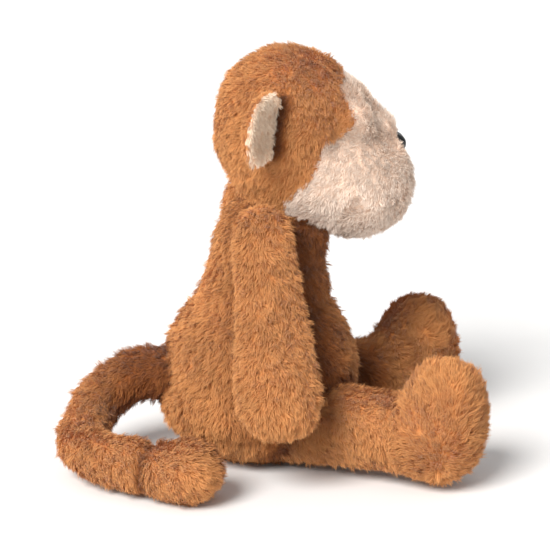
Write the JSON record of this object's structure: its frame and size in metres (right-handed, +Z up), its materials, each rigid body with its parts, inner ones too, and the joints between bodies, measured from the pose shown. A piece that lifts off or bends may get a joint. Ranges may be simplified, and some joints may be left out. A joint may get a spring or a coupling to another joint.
{
  "type": "stuffed monkey",
  "caption": "Seated plush monkey with a long curled tail, round ears, a pale muzzle and soft limbs that turn at their seams.",
  "frame": {"origin": "centre of the seat's flat base, on the surface the monkey sits on", "axes": "+Z up, -Y the way the monkey faces, -X its right side"},
  "size_m": [0.2447, 0.3018, 0.295],
  "materials": {
    "brown_fur": "dense short plush pile, slightly matted",
    "cream_fur": "dense short plush pile",
    "stuffing": "polyester fibre",
    "bag_cloth": "thin woven cloth",
    "pellets": "loose plastic beads",
    "thread": "twisted polyester thread",
    "eye_plastic": "polished",
    "nose_plastic": "polished",
    "washer_plastic": "moulded"
  },
  "bodies": {
    "torso": {"back_left": "brown_fur", "back_right": "brown_fur", "belly_panel": "brown_fur", "seat_panel": "brown_fur", "torso_stuffing": "stuffing", "pellet_bag": "bag_cloth", "pellets": "pellets"},
    "neck": {"neck_core": "stuffing", "neck_thread": "thread"},
    "head": {"head_left": "brown_fur", "head_right": "brown_fur", "brow_panel": "cream_fur", "muzzle_panel": "cream_fur", "head_stuffing": "stuffing", "eye_left": "eye_plastic", "eye_right": "eye_plastic", "eye_washer_left": "washer_plastic", "eye_washer_right": "washer_plastic", "nose": "nose_plastic", "nose_washer": "washer_plastic"},
    "tail_base": {"tail_base_skin": "brown_fur", "tail_base_stuffing": "stuffing"},
    "tail_tip": {"tail_tip_skin": "brown_fur", "tail_tip_stuffing": "stuffing"},
    "ear_left": {"ear_back_left": "brown_fur", "ear_lining_left": "cream_fur"},
    "arm_left": {"arm_outer_left": "brown_fur", "arm_inner_left": "brown_fur", "arm_stuffing_left": "stuffing"},
    "leg_left": {"leg_outer_left": "brown_fur", "leg_inner_left": "brown_fur", "foot_upper_left": "brown_fur", "sole_left": "brown_fur", "leg_stuffing_left": "stuffing"},
    "ear_right": {"ear_back_right": "brown_fur", "ear_lining_right": "cream_fur"},
    "arm_right": {"arm_outer_right": "brown_fur", "arm_inner_right": "brown_fur", "arm_stuffing_right": "stuffing"},
    "leg_right": {"leg_outer_right": "brown_fur", "leg_inner_right": "brown_fur", "foot_upper_right": "brown_fur", "sole_right": "brown_fur", "leg_stuffing_right": "stuffing"}
  },
  "joints": [
    {"name": "head_turn", "type": "hinge", "parent": "torso", "child": "neck", "pos_m": [0, -0.016, 0.19], "axis": [0, 0, 1], "range_deg": [-25, 25]},
    {"name": "head_nod", "type": "hinge", "parent": "neck", "child": "head", "pos_m": [0, -0.016, 0.19], "axis": [-1, 0, 0], "range_deg": [0, 18]},
    {"name": "arm_right_raise", "type": "hinge", "parent": "torso", "child": "arm_right", "pos_m": [-0.05, -0.003, 0.173], "axis": [-0.5, 0.866, 0], "range_deg": [0, 75]},
    {"name": "arm_left_raise", "type": "hinge", "parent": "torso", "child": "arm_left", "pos_m": [0.05, -0.003, 0.173], "axis": [-0.5, -0.866, 0], "range_deg": [0, 75]},
    {"name": "leg_right_lift", "type": "hinge", "parent": "torso", "child": "leg_right", "pos_m": [-0.038, -0.028, 0.034], "axis": [-0.891, 0.454, 0], "range_deg": [-60, 12]},
    {"name": "leg_left_lift", "type": "hinge", "parent": "torso", "child": "leg_left", "pos_m": [0.038, -0.028, 0.034], "axis": [-0.9455, -0.3256, 0], "range_deg": [-60, 12]},
    {"name": "tail_swing", "type": "hinge", "parent": "torso", "child": "tail_base", "pos_m": [0, 0.064, 0.0595], "axis": [0, 0, 1], "range_deg": [-45, 3]},
    {"name": "tail_curl", "type": "hinge", "parent": "tail_base", "child": "tail_tip", "pos_m": [-0.035, 0.121, 0.029], "axis": [0, 0, 1], "range_deg": [-35, 5]},
    {"name": "ear_right_flap", "type": "hinge", "parent": "head", "child": "ear_right", "pos_m": [-0.0484, -0.007, 0.2466], "axis": [0, -0.1392, 0.9903], "range_deg": [-25, 18], "stiffness_Nm_per_rad": 0.02},
    {"name": "ear_left_flap", "type": "hinge", "parent": "head", "child": "ear_left", "pos_m": [0.0484, -0.007, 0.2466], "axis": [0, 0.1392, -0.9903], "range_deg": [-25, 18], "stiffness_Nm_per_rad": 0.02}
  ]
}
